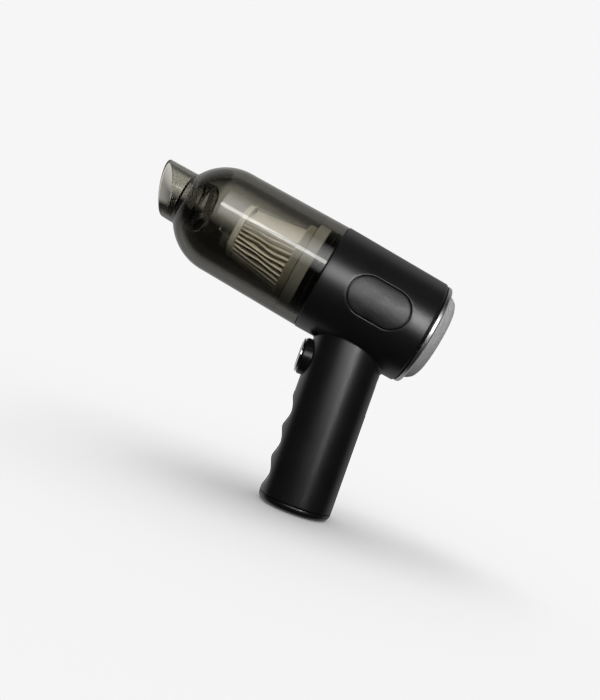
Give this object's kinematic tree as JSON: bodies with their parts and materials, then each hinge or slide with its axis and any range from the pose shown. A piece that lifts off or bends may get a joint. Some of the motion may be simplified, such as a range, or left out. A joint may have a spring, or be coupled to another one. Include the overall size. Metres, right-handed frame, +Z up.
{
  "type": "handheld vacuum cleaner",
  "caption": "Cordless pistol-grip hand vacuum with a clear pull-off dust cup, a slanted nozzle, a pleated cone filter and a sprung power button",
  "frame": {"origin": "centre of the handle's flat foot, on the handle's axis", "axes": "+Z up along the handle, -X forwards, the side that the nozzle and the button face, +X to the rear, the barrel in the plane Y = 0"},
  "size_m": [0.1754, 0.062, 0.1667],
  "materials": {
    "housing_black": "satin moulded ABS",
    "panel_black": "fine pebble texture",
    "trim_black": "gloss",
    "chrome": "polished",
    "silver": "bright turned",
    "grey_plastic": "satin metallic grey",
    "smoked_clear": "smoked transparent",
    "filter_beige": "matt",
    "filter_paper": "pleated paper",
    "gasket_grey": "matt",
    "rubber": "matt",
    "foam": "open-cell foam",
    "steel": "plated",
    "magnet": "sintered",
    "copper": "worn copper",
    "carbon": "matt",
    "white_plastic": "moulded nylon",
    "cell_sleeve": "shrink sleeve",
    "board_green": "solder mask",
    "lead_red": "insulation",
    "lead_black": "insulation"
  },
  "bodies": {
    "housing": {"housing_left": "housing_black", "housing_right": "housing_black", "handle_base_cap": "housing_black", "side_panel_left": "panel_black", "side_panel_right": "panel_black", "front_spigot": "trim_black", "button_collar": "trim_black", "power_switch": "trim_black", "button_ring": "chrome", "rear_trim_ring": "silver", "exhaust_cover": "grey_plastic", "diffuser": "grey_plastic", "cup_seal_ring": "rubber", "motor_mount_front": "rubber", "motor_mount_rear": "rubber", "exhaust_foam": "foam", "base_screw_1": "steel", "base_screw_2": "steel", "housing_screw_1": "steel", "housing_screw_2": "steel", "housing_screw_3": "steel", "housing_screw_4": "steel", "motor_can": "steel", "bearing_front": "steel", "bearing_rear": "steel", "usb_socket": "steel", "magnet_upper": "magnet", "magnet_lower": "magnet", "brush_upper": "carbon", "brush_lower": "carbon", "fan_shroud": "white_plastic", "motor_end_bell": "white_plastic", "battery_tray": "white_plastic", "battery_cap": "white_plastic", "battery_cell_front": "cell_sleeve", "battery_cell_rear": "cell_sleeve", "control_board": "board_green", "charge_board": "board_green", "motor_lead_red": "lead_red", "battery_lead_red": "lead_red", "motor_lead_black": "lead_black", "battery_lead_black": "lead_black"},
    "cup": {"dust_cup": "smoked_clear"},
    "filter": {"filter_frame": "filter_beige", "filter_media": "filter_paper", "filter_gasket": "gasket_grey"},
    "button": {"button_cap": "trim_black", "button_spring": "steel", "switch_plunger": "white_plastic"},
    "rotor": {"motor_shaft": "steel", "armature": "steel", "commutator": "copper", "impeller": "white_plastic"}
  },
  "joints": [
    {"name": "cup_pull", "type": "slide", "parent": "housing", "child": "cup", "axis": [-0.9836, 0, 0.1805], "range_m": [0, 0.06]},
    {"name": "filter_pull", "type": "slide", "parent": "housing", "child": "filter", "axis": [-0.9836, 0, 0.1805], "range_m": [0, 0.018]},
    {"name": "button_press", "type": "slide", "parent": "housing", "child": "button", "axis": [1, 0, 0], "range_m": [0, 0.0015], "stiffness_N_per_m": 900, "springref_m": -0.001, "deforming": ["button_spring"]},
    {"name": "rotor_spin", "type": "hinge", "parent": "housing", "child": "rotor", "pos_m": [-0.02734, 0, 0.12582], "axis": [0.9836, 0, -0.1805], "continuous": true}
  ]
}
